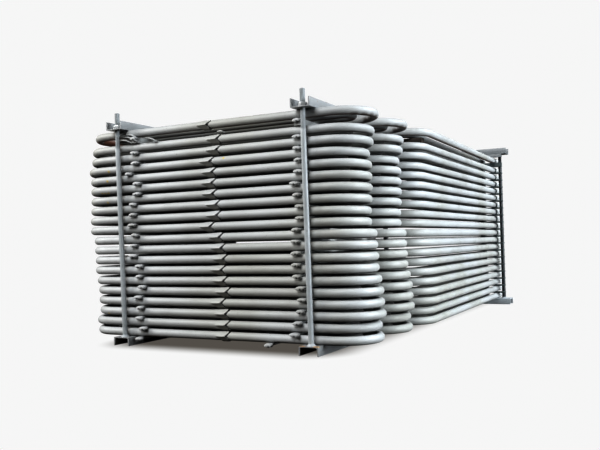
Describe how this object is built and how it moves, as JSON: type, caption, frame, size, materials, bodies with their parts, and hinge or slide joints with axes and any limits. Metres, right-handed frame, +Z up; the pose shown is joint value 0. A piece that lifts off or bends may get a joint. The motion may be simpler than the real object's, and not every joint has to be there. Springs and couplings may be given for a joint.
{
  "type": "superheater tube bundle",
  "caption": "Stack of flat serpentine superheater tube panels, each a nested pair of bent tubes, clamped for transport between steel channels with long tie rods.",
  "frame": {"origin": "on the ground, under the middle of the bundle's overall box", "axes": "+Z up, +X to the right along the front run, +Y from the looped front towards the square-cut tube ends"},
  "size_m": [2.246, 3.4784, 1.4736],
  "materials": {
    "outer_coil_paint": "satin light grey shop primer, with a little transport dirt",
    "inner_coil_paint": "satin light grey shop primer",
    "channel_paint": "light blue-grey primer, scuffed, with a few rust spots",
    "rod_paint": "grey paint over a bright thread",
    "nut_steel": "galvanised"
  },
  "bodies": {
    "root": {"outer_coil_01": "outer_coil_paint", "outer_coil_02": "outer_coil_paint", "outer_coil_03": "outer_coil_paint", "outer_coil_04": "outer_coil_paint", "outer_coil_05": "outer_coil_paint", "outer_coil_06": "outer_coil_paint", "outer_coil_07": "outer_coil_paint", "outer_coil_08": "outer_coil_paint", "outer_coil_09": "outer_coil_paint", "outer_coil_10": "outer_coil_paint", "outer_coil_11": "outer_coil_paint", "outer_coil_12": "outer_coil_paint", "outer_coil_13": "outer_coil_paint", "outer_coil_14": "outer_coil_paint", "outer_coil_15": "outer_coil_paint", "outer_coil_16": "outer_coil_paint", "outer_coil_17": "outer_coil_paint", "outer_coil_18": "outer_coil_paint", "outer_coil_19": "outer_coil_paint", "outer_coil_20": "outer_coil_paint", "inner_coil_01": "inner_coil_paint", "inner_coil_02": "inner_coil_paint", "inner_coil_03": "inner_coil_paint", "inner_coil_04": "inner_coil_paint", "inner_coil_05": "inner_coil_paint", "inner_coil_06": "inner_coil_paint", "inner_coil_07": "inner_coil_paint", "inner_coil_08": "inner_coil_paint", "inner_coil_09": "inner_coil_paint", "inner_coil_10": "inner_coil_paint", "inner_coil_11": "inner_coil_paint", "inner_coil_12": "inner_coil_paint", "inner_coil_13": "inner_coil_paint", "inner_coil_14": "inner_coil_paint", "inner_coil_15": "inner_coil_paint", "inner_coil_16": "inner_coil_paint", "inner_coil_17": "inner_coil_paint", "inner_coil_18": "inner_coil_paint", "inner_coil_19": "inner_coil_paint", "inner_coil_20": "inner_coil_paint", "left_bottom_channel": "channel_paint", "left_top_channel": "channel_paint", "middle_bottom_channel": "channel_paint", "middle_top_channel": "channel_paint", "rear_bottom_channel": "channel_paint", "rear_top_channel": "channel_paint", "left_front_rod": "rod_paint", "left_back_rod": "rod_paint", "middle_front_rod": "rod_paint", "middle_back_rod": "rod_paint", "rear_left_rod": "rod_paint", "rear_right_rod": "rod_paint", "left_front_nut": "nut_steel", "left_back_nut": "nut_steel", "middle_front_nut": "nut_steel", "middle_back_nut": "nut_steel", "rear_left_nut": "nut_steel", "rear_right_nut": "nut_steel"}
  },
  "joints": []
}
